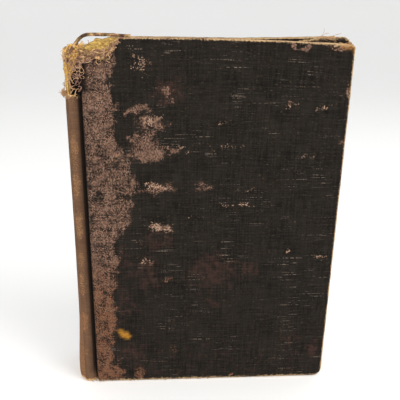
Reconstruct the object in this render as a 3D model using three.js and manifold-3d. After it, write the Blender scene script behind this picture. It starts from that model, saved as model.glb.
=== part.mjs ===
// A small cloth-bound prayer book standing on its tail edge, in millimetres, +Z up.
// The front cover faces -Y, the spine is at -X and the fore-edge at +X.
// Every profile is drawn as (u, y): u runs from the spine-side edge of the boards to the fore-edge.
// Pieces that lie on both sides of the book are drawn for the front (-Y) and mirrored for the back.

import * as THREE from 'three';
import Module from 'manifold-3d';
import { mergeVertices } from 'three/addons/utils/BufferGeometryUtils.js';

const wasm = await Module();
wasm.setup();

// ---- driving dimensions -------------------------------------------------------------------
const coverHeight = 166;        // head to tail of the covered boards
const coverWidth = 114;         // spine-side edge of the boards to the fore-edge of the cloth
const textHalfThickness = 10.5; // half the pressed thickness of the sewn leaves
const spineRise = 4;            // how far the round of the spine stands out past its shoulders
const shoulderOffset = 6;       // spine shoulder, measured back from the edge of the boards
const shoulderStep = 1;         // and how far it stands in from the face of the cover
const boardThickness = 2.3;
const clothThickness = 0.45;
const pastedownThickness = 0.25;
const endpaperThickness = 0.25;
const mullThickness = 0.3;
const inlayThickness = 0.5;
const liningThickness = 0.25;
const threadThickness = 0.5;
const threadWidth = 1.2;
const inlaySetIn = 1.8;         // the spine card stops short of the shoulders of the cloth
const hollowGap = 0.6;          // the open hollow behind the spine of a case binding
const pastedownStart = 1;       // the pastedown begins this far onto the board
const square = 3;               // how far the boards stand out past the leaves
const turnIn = 15;              // cloth folded over onto the inside of the boards
const mullReach = 20;           // mull glued onto the inside of a board
const sewingGatherings = 16;
const sewingCords = 3;

// ---- clearances ---------------------------------------------------------------------------
const layerGap = 0.05;          // between flat layers that are glued together
const foldGap = 0.15;           // beside a layer that is free to turn
const leafGap = 0.1;            // between one gathering and the next
const hingeGap = 0.3;           // between the two cloths that meet in the groove
const grooveGap = 0.2;          // between the mull and the cloth pressed down onto it

// ---- the joint groove and the torn head ---------------------------------------------------
const hingeSetback = 4;         // the cover turns about this line, measured from the board's edge
const gutterGap = 0.1;          // leaves start to turn this far from the gutter line
const tornWidth = 17;           // cloth lost from the front cover along the head
const tornDrop = 7;             // and down its joint
const tornSpineDrop = 23;       // spine cloth is lost this far down from the head at the front joint
const tornSpineRise = 10;       // the tear climbs this much on its way round to the back
const tornSpineBack = 8;        // y where the tear reaches the head
const inlayDrop = 5;            // the bared spine card has worn down this far from the head
const stripHeight = 2.4;        // the rolled cloth edge left lying across the head
const stripWidth = 1;
const boardCorner = 2.5;        // worn round of the fore-edge corners of the boards
const arcSteps = 16;
const cutMargin = 1;            // how far a cutting body reaches past what it cuts

// ---- worked out from the sizes above, from the leaves outwards -----------------------------
const endpaperIn = textHalfThickness + leafGap;
const endpaperOut = endpaperIn + endpaperThickness;
const pastedownIn = endpaperOut + foldGap;
const pastedownOut = pastedownIn + pastedownThickness;
const turnInIn = pastedownOut + layerGap;
const turnInOut = turnInIn + clothThickness;
const boardIn = turnInOut + layerGap;
const boardOut = boardIn + boardThickness;
const clothIn = boardOut + layerGap;
const coverOut = clothIn + clothThickness;
const grooveFloor = pastedownOut + grooveGap + clothThickness;
const boardWidth = coverWidth - clothThickness - layerGap;
const boardLow = clothThickness + layerGap;
const boardHigh = coverHeight - boardLow;
const leafLow = boardLow + square;
const leafHigh = boardHigh - square;
const shoulderY = coverOut - shoulderStep;
const tornSpineTop = coverHeight - tornSpineDrop;
const inlayTop = coverHeight - inlayDrop;
const spineRadius = (shoulderY ** 2 + spineRise ** 2) / (2 * spineRise);
const spineCentre = spineRadius - shoulderOffset - spineRise;
const centreX = (coverWidth - shoulderOffset - spineRise) / 2;

// radii of the layers behind the spine, from the cloth inwards
const clothInnerRadius = spineRadius - clothThickness;
const inlayRadius = clothInnerRadius - layerGap;
const inlayInnerRadius = inlayRadius - inlayThickness;
const liningRadius = inlayInnerRadius - hollowGap;
const mullRadius = liningRadius - liningThickness - layerGap;
const threadRadius = mullRadius - mullThickness - layerGap;
const backsRadius = threadRadius - threadThickness - layerGap;
const leafWidth = boardWidth - square - backEdge(textHalfThickness);

const looks = {
  cloth: { color: 0x2b2826, roughness: 0.92 },
  spineCloth: { color: 0x8a6546, roughness: 0.92 },
  board: { color: 0xc79f45, roughness: 0.95 },
  card: { color: 0xd0a04a, roughness: 0.95 },
  endpaper: { color: 0xd8c9a6, roughness: 0.9 },
  paper: { color: 0xe2d6b8, roughness: 0.9 },
  mull: { color: 0xcbbb97, roughness: 0.95 },
  thread: { color: 0xd9cdb0, roughness: 0.85 },
};

const book = new THREE.Group();
book.position.x = -centreX;

function addPiece(name, geometry, look) {
  const material = new THREE.MeshStandardMaterial({ ...look, metalness: 0 });
  const mesh = new THREE.Mesh(geometry, material);
  mesh.name = name;
  book.add(mesh);
}

// where the rounded back of the leaves lies at a distance y from the middle of the book
function backEdge(y) {
  return spineCentre - Math.sqrt(backsRadius ** 2 - y ** 2);
}

// ---- outlines -----------------------------------------------------------------------------
// An outline is a list of [u, y] points; extruding it makes a solid from zLow to zHigh.
function extrude(outline, zLow, zHigh) {
  const shape = new THREE.Shape(outline.map(([u, y]) => new THREE.Vector2(u, y)));
  const geometry = new THREE.ExtrudeGeometry(shape, { depth: zHigh - zLow, bevelEnabled: false });
  return geometry.translate(0, 0, zLow);
}

// the arc of one layer of the spine, from yStart to yEnd
function spineArc(radius, yStart, yEnd) {
  const from = Math.asin(yStart / radius);
  const to = Math.asin(yEnd / radius);
  const points = [];
  for (let i = 0; i <= arcSteps; i += 1) {
    const angle = from + (to - from) * i / arcSteps;
    points.push([spineCentre - radius * Math.cos(angle), radius * Math.sin(angle)]);
  }
  return points;
}

// a strip of even thickness along a path; the thickness is added on the path's left side
function band(path, thickness) {
  const last = path.length - 1;
  const inner = path.map((point, i) => {
    const leaving = i < last ? direction(point, path[i + 1]) : direction(path[last - 1], point);
    const arriving = i > 0 ? direction(path[i - 1], point) : leaving;
    const normal = [-(arriving[1] + leaving[1]) / 2, (arriving[0] + leaving[0]) / 2];
    const reach = thickness / (normal[0] ** 2 + normal[1] ** 2);
    return [point[0] + reach * normal[0], point[1] + reach * normal[1]];
  });
  return [...path, ...inner.reverse()];
}

function direction(from, to) {
  const length = Math.hypot(to[0] - from[0], to[1] - from[1]);
  return [(to[0] - from[0]) / length, (to[1] - from[1]) / length];
}

function box(u, y, z) {
  const geometry = new THREE.BoxGeometry(u[1] - u[0], y[1] - y[0], z[1] - z[0]);
  return geometry.translate((u[0] + u[1]) / 2, (y[0] + y[1]) / 2, (z[0] + z[1]) / 2);
}

// a flat sheet in the plane of the cover, with round fore-edge corners
function panel(u, y, z, corner) {
  const shape = new THREE.Shape();
  shape.moveTo(u[0], z[0]);
  shape.lineTo(u[1] - corner, z[0]);
  shape.absarc(u[1] - corner, z[0] + corner, corner, -Math.PI / 2, 0, false);
  shape.absarc(u[1] - corner, z[1] - corner, corner, 0, Math.PI / 2, false);
  shape.lineTo(u[0], z[1]);
  const options = { depth: y[1] - y[0], bevelEnabled: false, curveSegments: 5 };
  return new THREE.ExtrudeGeometry(shape, options).rotateX(Math.PI / 2).translate(0, y[1], 0);
}

// ---- joining and cutting ------------------------------------------------------------------
function toSolid(geometry) {
  const bare = geometry.clone();
  bare.deleteAttribute('normal');
  bare.deleteAttribute('uv');
  const merged = mergeVertices(bare, 1e-4);
  const vertProperties = new Float32Array(merged.attributes.position.array);
  const triVerts = new Uint32Array(merged.index.array);
  return new wasm.Manifold(new wasm.Mesh({ numProp: 3, vertProperties, triVerts }));
}

function toGeometry(solid) {
  const mesh = solid.getMesh();
  const geometry = new THREE.BufferGeometry();
  geometry.setAttribute('position', new THREE.BufferAttribute(new Float32Array(mesh.vertProperties), 3));
  geometry.setIndex(new THREE.BufferAttribute(new Uint32Array(mesh.triVerts), 1));
  return geometry;
}

// the back cover's pieces are the front cover's, turned over to +Y
function mirrored(geometry) {
  return toGeometry(toSolid(geometry).mirror([0, 1, 0]));
}

// ---- covers -------------------------------------------------------------------------------
function boardGeometry() {
  return panel([0, boardWidth], [-boardOut, -boardIn], [boardLow, boardHigh], boardCorner);
}

// Cloth over the outside of a board, folded round its head, tail and fore-edge onto the inside,
// and running down over the board's spine-side edge to the floor of the joint groove.
function coverClothSolid() {
  const outer = panel([0, coverWidth], [-coverOut, -turnInIn], [0, coverHeight], boardCorner + boardLow);
  const cavityHigh = boardHigh + layerGap;
  const cavity = panel([-cutMargin, boardWidth + layerGap], [-clothIn, -boardIn + layerGap],
    [boardLow - layerGap, cavityHigh], boardCorner + layerGap);
  const windowZ = [turnIn, coverHeight - turnIn];
  const innerWindow = box([-cutMargin, coverWidth - turnIn], [-boardIn, -turnInIn + cutMargin], windowZ);
  const sheet = toSolid(outer).subtract(toSolid(cavity)).subtract(toSolid(innerWindow));
  return sheet.add(toSolid(grooveCloth()));
}

function grooveCloth() {
  const edge = -clothThickness - layerGap;
  const path = [
    [-hingeSetback + hingeGap / 2, -grooveFloor],
    [edge - clothThickness, -grooveFloor],
    [edge, -grooveFloor - clothThickness],
    [edge, -coverOut + clothThickness / 2],
    [edge + clothThickness / 2, -coverOut],
    [clothThickness, -coverOut],
  ];
  return extrude(band(path, clothThickness), 0, coverHeight);
}

// the corner of cloth that is torn off at the head beside the spine
function tornCorner() {
  const shape = new THREE.Shape();
  shape.moveTo(-hingeSetback - cutMargin, coverHeight + cutMargin);
  shape.lineTo(-hingeSetback - cutMargin, coverHeight - tornDrop);
  shape.lineTo(tornWidth / 2, coverHeight - tornDrop * 0.8);
  shape.lineTo(tornWidth, coverHeight + cutMargin);
  const depth = coverOut - boardIn + cutMargin - layerGap;
  const geometry = new THREE.ExtrudeGeometry(shape, { depth, bevelEnabled: false });
  return geometry.rotateX(Math.PI / 2).translate(0, -boardIn - layerGap, 0);
}

function tornGroove() {
  const u = [-hingeSetback - cutMargin, 0];
  return box(u, [-coverOut - cutMargin, -turnInIn + cutMargin], [tornSpineTop, coverHeight + cutMargin]);
}

function mullFlapGeometry() {
  const path = [
    [-hingeSetback + hingeGap / 2, -pastedownOut],
    [-mullThickness, -pastedownOut],
    [2 * mullThickness, -turnInOut],
    [mullReach, -turnInOut],
  ];
  const flap = band(path, mullThickness);
  return extrude(flap, turnIn + cutMargin, coverHeight - turnIn - cutMargin);
}

const frontBoard = boardGeometry();
addPiece('front_board', frontBoard, looks.board);
addPiece('back_board', mirrored(frontBoard), looks.board);

const wholeCloth = coverClothSolid();
const frontCloth = wholeCloth.subtract(toSolid(tornCorner())).subtract(toSolid(tornGroove()));
addPiece('front_cloth', toGeometry(frontCloth), looks.cloth);
addPiece('back_cloth', toGeometry(wholeCloth.mirror([0, 1, 0])), looks.cloth);

const mullFlap = mullFlapGeometry();
addPiece('front_mull_flap', mullFlap, looks.mull);
addPiece('back_mull_flap', mirrored(mullFlap), looks.mull);

const pastedownU = [pastedownStart, boardWidth - square];
const pastedown = box(pastedownU, [-pastedownOut, -pastedownIn], [leafLow, leafHigh]);
addPiece('front_pastedown', pastedown, looks.endpaper);
addPiece('back_pastedown', mirrored(pastedown), looks.endpaper);

// ---- spine of the case --------------------------------------------------------------------
function spineClothSolid() {
  const shoulder = [-shoulderOffset, -shoulderY];
  const floorEnd = [-hingeSetback - hingeGap / 2, -grooveFloor];
  const floorStart = [-shoulderOffset + (shoulderY - grooveFloor) / 2, -grooveFloor];
  const arc = spineArc(spineRadius, -shoulderY, shoulderY).slice(1, -1);
  const flip = ([u, y]) => [u, -y];
  const path = [floorEnd, floorStart, shoulder, ...arc, flip(shoulder), flip(floorStart), flip(floorEnd)];
  return toSolid(extrude(band(path.reverse(), clothThickness), 0, coverHeight));
}

// the cloth lost from the head: everything above a line that climbs from the front joint
function tornHead() {
  const shape = new THREE.Shape();
  shape.moveTo(-coverOut - cutMargin, tornSpineTop);
  shape.lineTo(0, tornSpineTop + tornSpineRise / 4);
  shape.lineTo(tornSpineBack / 2, tornSpineTop + tornSpineRise);
  shape.lineTo(tornSpineBack, coverHeight + cutMargin);
  shape.lineTo(-coverOut - cutMargin, coverHeight + cutMargin);
  const depth = shoulderOffset + spineRise + 2 * cutMargin;
  const geometry = new THREE.ExtrudeGeometry(shape, { depth, bevelEnabled: false });
  const turn = new THREE.Matrix4().makeBasis(
    new THREE.Vector3(0, 1, 0), new THREE.Vector3(0, 0, 1), new THREE.Vector3(1, 0, 0));
  return geometry.applyMatrix4(turn).translate(-shoulderOffset - spineRise - cutMargin, 0, 0);
}

function layer(radius, thickness, halfHeight, zLow, zHigh) {
  const outer = spineArc(radius, -halfHeight, halfHeight);
  const inner = spineArc(radius - thickness, -halfHeight, halfHeight);
  return extrude([...outer, ...inner.reverse()], zLow, zHigh);
}

addPiece('spine_cloth', toGeometry(spineClothSolid().subtract(toSolid(tornHead()))), looks.spineCloth);
const inlayHalf = shoulderY - inlaySetIn;
addPiece('spine_inlay', layer(inlayRadius, inlayThickness, inlayHalf, boardLow, inlayTop), looks.card);

// ---- spine of the text block --------------------------------------------------------------
// The gatherings' folds are sewn and glued together here; the leaves turn at the gutter line.
const backsOutline = [...spineArc(backsRadius, -textHalfThickness, textHalfThickness),
  [-gutterGap, textHalfThickness], [-gutterGap, -textHalfThickness]];
addPiece('sewn_backs', extrude(backsOutline, leafLow, leafHigh), looks.paper);

const stripHalf = textHalfThickness - leafGap;
const liningLow = leafLow + cutMargin;
const liningHigh = leafHigh - cutMargin;
addPiece('spine_lining', layer(liningRadius, liningThickness, stripHalf, liningLow, liningHigh), looks.card);

// mull over the back of the leaves, with a leg on each side that reaches into the joint
function mullGeometry() {
  const arc = spineArc(mullRadius, -textHalfThickness - leafGap, textHalfThickness + leafGap);
  const floorEnd = -hingeSetback - hingeGap / 2;
  const corner = arc[0][0] + mullThickness;
  const frontLeg = [[floorEnd, -pastedownOut], [corner, -pastedownOut]];
  const backLeg = [[corner, pastedownOut], [floorEnd, pastedownOut]];
  const path = [...frontLeg, ...arc, ...backLeg];
  return extrude(band(path.reverse(), mullThickness), turnIn + cutMargin, coverHeight - turnIn - cutMargin);
}
addPiece('spine_mull', mullGeometry(), looks.mull);

function sewing(name, z) {
  const thread = layer(threadRadius, threadThickness, stripHalf, z - threadWidth / 2, z + threadWidth / 2);
  addPiece(name, thread, looks.thread);
}
const kettleInset = 9;
sewing('kettle_stitch_tail', leafLow + kettleInset);
sewing('kettle_stitch_head', leafHigh - kettleInset);
for (let i = 1; i <= sewingCords; i += 1) {
  sewing(`sewing_cord_${i}`, leafLow + (leafHigh - leafLow) * i / (sewingCords + 1));
}

// the rolled head edge of the spine cloth, torn loose and lying across the head of the leaves
const stripRadius = inlayInnerRadius - hingeGap;
const strip = layer(stripRadius, stripWidth, tornSpineBack, coverHeight - stripHeight, coverHeight);
addPiece('torn_cap_strip', strip, looks.spineCloth);

// ---- leaves -------------------------------------------------------------------------------
// All the leaves are the same width, so the fore-edge is hollow by as much as the back is round.
const endpaperU = [gutterGap, backEdge(textHalfThickness) + leafWidth];
const endpaper = box(endpaperU, [-endpaperOut, -endpaperIn], [leafLow, leafHigh]);
addPiece('front_free_endpaper', endpaper, looks.endpaper);
addPiece('back_free_endpaper', mirrored(endpaper), looks.endpaper);

const pitch = 2 * textHalfThickness / sewingGatherings;
for (let i = 0; i < sewingGatherings; i += 1) {
  const y0 = -textHalfThickness + i * pitch + leafGap / 2;
  const y1 = y0 + pitch - leafGap;
  const outline = [[gutterGap, y0], [backEdge(y0) + leafWidth, y0], [backEdge(y1) + leafWidth, y1],
    [gutterGap, y1]];
  const number = String(i + 1).padStart(2, '0');
  addPiece(`gathering_${number}`, extrude(outline, leafLow, leafHigh), looks.paper);
}

export default book;
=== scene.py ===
# %% [markdown]
# # A worn cloth-bound prayer book
# The book is a case binding: two straw boards and a card spine, covered in one piece of woven book cloth
# and glued round a block of sewn leaves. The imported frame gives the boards, leaves, hinges and sizes.
# This lesson dresses that frame: cloth with its tears and wear, folded leaves, threads, board and paper.

# %% Load the frame
import math
import random
from functools import partial

import bpy
import numpy as np
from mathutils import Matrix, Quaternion, Vector, noise


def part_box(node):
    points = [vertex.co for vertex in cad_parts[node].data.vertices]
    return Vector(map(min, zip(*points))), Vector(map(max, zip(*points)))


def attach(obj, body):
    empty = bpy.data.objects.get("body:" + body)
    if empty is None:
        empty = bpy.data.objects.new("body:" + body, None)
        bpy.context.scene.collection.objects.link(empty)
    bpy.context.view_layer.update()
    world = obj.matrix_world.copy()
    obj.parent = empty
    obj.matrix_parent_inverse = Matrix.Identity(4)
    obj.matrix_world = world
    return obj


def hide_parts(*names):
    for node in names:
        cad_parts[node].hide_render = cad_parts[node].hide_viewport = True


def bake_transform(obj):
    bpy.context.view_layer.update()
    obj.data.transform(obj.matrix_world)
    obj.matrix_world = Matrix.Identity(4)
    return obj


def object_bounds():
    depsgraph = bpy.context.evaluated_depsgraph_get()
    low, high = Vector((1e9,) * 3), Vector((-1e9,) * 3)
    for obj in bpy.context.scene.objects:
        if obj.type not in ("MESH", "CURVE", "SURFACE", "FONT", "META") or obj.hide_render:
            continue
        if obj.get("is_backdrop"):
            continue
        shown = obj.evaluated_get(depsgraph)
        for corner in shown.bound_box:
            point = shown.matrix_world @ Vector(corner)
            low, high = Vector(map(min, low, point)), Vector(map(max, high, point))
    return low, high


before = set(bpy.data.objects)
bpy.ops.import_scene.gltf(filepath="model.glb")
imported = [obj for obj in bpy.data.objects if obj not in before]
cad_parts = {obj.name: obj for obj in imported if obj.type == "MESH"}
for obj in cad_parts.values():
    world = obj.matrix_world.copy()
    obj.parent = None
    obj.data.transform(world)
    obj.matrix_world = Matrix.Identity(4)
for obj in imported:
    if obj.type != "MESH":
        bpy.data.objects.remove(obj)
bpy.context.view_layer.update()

MM = 0.001

# %% [markdown]
# A bookbinder measures from the joint, so this script does too. A place is (u, y, z) in millimetres:
# u runs from the spine-side edge of the boards to the fore-edge, y from the front cover (minus) to the
# back cover (plus), and z up from the tail. Every main size is read from the frame's own boxes.

# %% Sizes read from the frame
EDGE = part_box("front_board")[0].x


def box_mm(node):
    low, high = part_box(node)
    return (np.array(low) - (EDGE, 0, 0)) / MM, (np.array(high) - (EDGE, 0, 0)) / MM


cover_low, cover_high = box_mm("front_cloth")
WIDTH, HEIGHT = cover_high[0], cover_high[2]
FACE = -cover_low[1]
COVER_THICK = cover_high[1] - cover_low[1]
APEX = box_mm("spine_cloth")[0][0]
SHOULDER_U, SHOULDER_Y = -6, box_mm("spine_cloth")[1][1]
TEXT_LOW, TEXT_HIGH = box_mm("sewn_backs")[0][2], box_mm("sewn_backs")[1][2]
print(f"cover {WIDTH:.1f} x {HEIGHT:.1f}, {COVER_THICK:.2f} thick, {2 * FACE:.1f} over both faces")


def place(u, y, z):
    return Vector((EDGE + u * MM, y * MM, z * MM))


# %% [markdown]
# The camera stands a little above the head of the book and looks down at the front cover. It comes
# before the pieces, so that everything is built towards a known view. Colours are judged as a paint card
# shows them, so the view transform is the plain Standard one.

# %% Camera
camera_data = bpy.data.cameras.new("camera")
camera_data.sensor_width = 36
camera_data.lens = 45.6
camera = bpy.data.objects.new("camera", camera_data)
bpy.context.scene.collection.objects.link(camera)
bpy.context.scene.camera = camera
bpy.context.scene.view_settings.view_transform = "Standard"
camera.location = place(35.2, -FACE - 215.9, 169.2)
PITCH, YAW, ROLL = math.radians(18.57), math.radians(3.86), math.radians(0.96)
aim = Vector((math.sin(YAW) * math.cos(PITCH), math.cos(YAW) * math.cos(PITCH), -math.sin(PITCH)))
camera.rotation_mode = "QUATERNION"
camera.rotation_quaternion = aim.to_track_quat("-Z", "Y") @ Quaternion((0, 0, 1), ROLL)
print("camera at", [round(v, 3) for v in camera.location], "with a lens of", camera_data.lens, "mm")

# %% [markdown]
# Every surface here is a set of points in millimetres with faces between them, so one helper makes them
# all. Each point also carries a place on the flat, uncut material, in millimetres, so that a weave keeps
# its size round an edge and stays put when a hinge turns. Masks are numbers from 0 to 1 at each point.

# %% Helper: a piece from points


def make_piece(name, points, faces, material, flat, masks=None):
    mesh = bpy.data.meshes.new(name)
    mesh.from_pydata([place(*p) for p in points], [], faces)
    mesh.polygons.foreach_set("use_smooth", [True] * len(mesh.polygons))
    corners = np.empty(len(mesh.loops), np.int32)
    mesh.loops.foreach_get("vertex_index", corners)
    layer = mesh.uv_layers.new(name="flat")
    layer.data.foreach_set("uv", np.asarray(flat, np.float32)[corners].ravel())
    for mask, values in (masks or {}).items():
        attribute = mesh.attributes.new(mask, "FLOAT", "POINT")
        attribute.data.foreach_set("value", np.asarray(values, np.float32))
    mesh.materials.append(material)
    piece = bpy.data.objects.new(name, mesh)
    bpy.context.scene.collection.objects.link(piece)
    return piece


def apply_modifier(piece, kind, **settings):
    modifier = piece.modifiers.new(kind.lower(), kind)
    for key, value in settings.items():
        setattr(modifier, key, value)
    bpy.context.view_layer.objects.active = piece
    bpy.ops.object.modifier_apply(modifier=modifier.name)


def thicken(piece, thickness):
    """Gives a sheet its thickness, on the side away from its face normals."""
    apply_modifier(piece, "SOLIDIFY", thickness=thickness * MM, offset=-1)


# %% [markdown]
# A sheet that stands upright, such as a leaf or the spine card, follows a plan path and runs up through
# a list of heights. It could be cut from a cube, but real sheets are bent, not cut. Squares that the
# keep test refuses are left out, so a sheet can be torn. Its face is the near side of the path.

# %% Helper: an upright sheet


def lengths_along(path):
    return np.concatenate([[0], np.cumsum(np.linalg.norm(np.diff(path, axis=0), axis=1))])


def grid_faces(rows, columns, start=0):
    """Squares between points that are stored row by row."""
    firsts = [start + r * columns + c for r in range(rows - 1) for c in range(columns - 1)]
    return [(a, a + 1, a + columns + 1, a + columns) for a in firsts]


def upright_sheet(name, path, heights, material, thickness, keep=None, shape=None, masks=None):
    path, heights = np.array(path, float), np.array(heights, float)
    columns, rows = len(path), len(heights)
    s = np.tile(lengths_along(path), rows)
    z = np.repeat(heights, columns)
    points = np.stack([np.tile(path[:, 0], rows), np.tile(path[:, 1], rows), z], 1)
    if shape:
        points = shape(points)
    faces = grid_faces(rows, columns)
    if keep:
        faces = [face for face in faces if keep(*((points[face[0]] + points[face[2]]) / 2))]
    used = sorted({i for face in faces for i in face})
    renumber = {old: new for new, old in enumerate(used)}
    faces = [tuple(renumber[i] for i in face) for face in faces]
    values = {mask: values[used] for mask, values in (masks(points) if masks else {}).items()}
    piece = make_piece(name, points[used], faces, material, np.stack([s, z], 1)[used], values)
    if thickness:
        thicken(piece, thickness)
    return piece


# %% [markdown]
# Every piece then goes with the body it moves with, and the node that it stands in for, if any, is
# hidden. One helper does so for a stiff piece, which rides on its body.

# %% Helper: a piece that rides


def settle(piece, body, node=None):
    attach(piece, body)
    if node:
        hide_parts(node)
    print(piece.name, "rides", body, "with", len(piece.data.polygons), "faces")


# %% [markdown]
# Old materials are uneven everywhere. Smooth noise in millimetres gives that: a value near -1 to 1 for
# each point. It has no random seed to drift, so the same book comes out every time.

# %% Helper: unevenness


def uneven(u, v, size, seed=0.0):
    u, v = np.broadcast_arrays(np.asarray(u, float), np.asarray(v, float))
    values = [noise.noise(Vector((a / size, b / size, seed + 0.37))) for a, b in zip(u.ravel(), v.ravel())]
    return np.array(values).reshape(u.shape)


def ease(low, high, value):
    """Goes smoothly from 0 at low to 1 at high; low may be the larger."""
    t = np.clip((value - low) / (high - low), 0, 1)
    return t * t * (3 - 2 * t)


# %% [markdown]
# The finishes come next. Each colour is an sRGB hex value, as a paint card gives it, and one function
# turns it to the linear values that a shader wants. One other function adds a node, of any kind, and
# gives back its output, so a finish reads like a recipe.

# %% Helper: colours and nodes
COLOUR, SMOOTH = {"data_type": "RGBA"}, {"interpolation_type": "SMOOTHSTEP"}


def linear(hex_colour):
    channels = [int(hex_colour[i:i + 2], 16) / 255 for i in (0, 2, 4)]
    return [c / 12.92 if c <= 0.04045 else ((c + 0.055) / 1.055) ** 2.4 for c in channels] + [1]


def add_node(tree, kind, *inputs, named=None, out="first", **settings):
    """Adds a node, such as Math.MULTIPLY, and gives back one of its outputs, or the node if out is None.
    Inputs are values, hex colours or outputs of other nodes, in order or by name."""
    kind, _, operation = kind.partition(".")
    node = tree.nodes.new("ShaderNode" + kind)
    if operation:
        node.operation = operation
    for key, value in settings.items():
        setattr(node, key, value)
    in_use = [socket for socket in node.inputs if socket.enabled]
    pairs = [*zip(in_use, inputs), *((node.inputs[key], value) for key, value in (named or {}).items())]
    for socket, value in pairs:
        if isinstance(value, bpy.types.NodeSocket):
            tree.links.new(value, socket)
        else:
            socket.default_value = linear(value) if isinstance(value, str) else value
    if out == "first":
        return next(socket for socket in node.outputs if socket.enabled)
    return node.outputs[out] if out else node


def start_finish(name):
    """A new material, the function that adds its nodes, and the flat millimetre map they are drawn on."""
    material = bpy.data.materials.new(name)
    material.use_nodes = True
    material.node_tree.nodes.clear()
    add = partial(add_node, material.node_tree)
    return material, add, add("UVMap", uv_map="flat")


def end_finish(add, colour, height, relief, depth, roughness, gloss, sheen=0.0):
    """Cotton, linen, straw and paper are all cellulose, with an IOR of 1.5; depth is in millimetres."""
    normal = add("Bump", named={"Height": height, "Strength": relief, "Distance": depth * MM})
    surface = add("BsdfPrincipled", named={
        "Base Color": colour, "Normal": normal, "Roughness": roughness, "IOR": 1.5, "Metallic": 0.0,
        "Specular IOR Level": gloss, "Sheen Weight": sheen, "Sheen Roughness": 0.5})
    add("OutputMaterial", surface, out=None)


def grain(add, flat, size, low=0.35, high=0.65, detail=3.0, stretch=(1, 1)):
    """Lumps of a size in millimetres, from 0 to 1; stretch makes them longer along u or z."""
    drawn_out = (1 / (size * stretch[0]), 1 / (size * stretch[1]), 1)
    spread = add("Mapping", named={"Vector": flat, "Scale": drawn_out})
    lumps = add("TexNoise", named={"Vector": spread, "Scale": 1.0, "Detail": detail})
    return add("MapRange", lumps, low, high, **SMOOTH)


# %% [markdown]
# ## Book cloth
# Book cloth is plain-woven cotton, filled with starch and dyed, with a dull face. It could be a flat
# colour with a weave bump, but old cloth is told by its wear: the dye sits on the outside of the threads,
# so rubbing shows first as brown specks on the crowns of the weave, then as bare tan thread. So the weave
# comes first. Its threads are 0.45 mm apart, which is a coarse real cloth and just wide enough to show.

# %% Finish: the weave
THREAD = 0.45


def weave_height(add, flat):
    """Height of a plain weave: two sets of round threads that pass over and under each other."""
    split = add("SeparateXYZ", flat, out=None).outputs
    checks = add("TexChecker", named={"Vector": flat, "Scale": 1 / THREAD}, out="Fac")
    warp, weft = [add("Math.ABSOLUTE", add("Math.SINE", add("Math.MULTIPLY", axis, math.pi / THREAD)))
                  for axis in (split[0], split[1])]
    raised = add("Math.MULTIPLY_ADD", checks, 0.6, 0.4)
    warp = add("Math.MULTIPLY", warp, raised)
    weft = add("Math.MULTIPLY", weft, add("Math.SUBTRACT", 1.4, raised))
    return add("Math.MAXIMUM", warp, weft)


print("the weave has a thread every", THREAD, "mm")

# %% [markdown]
# The cloth's colour is laid on in the order in which the real one got it: dye, damp, rubbing and pulled
# threads; painted shade in the joint and between the threads is laid on last. Every thread crossing gets a
# chance of its own, and a worn place lets more crossings show brown; plain noise would rub the cloth away
# in clouds. Cotton is rough, near 0.9, with little sheen.

# %% Finish: book cloth
# The last two colours are painted shade: the dark of the joint's groove and of the gaps between threads.
PALE_WEFT, PALE_FLECK, OCHRE, DEEP_SHADE, WEAVE_SHADE = "c2ae9c", "b8977f", "c08630", "14100e", "120f0d"


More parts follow.
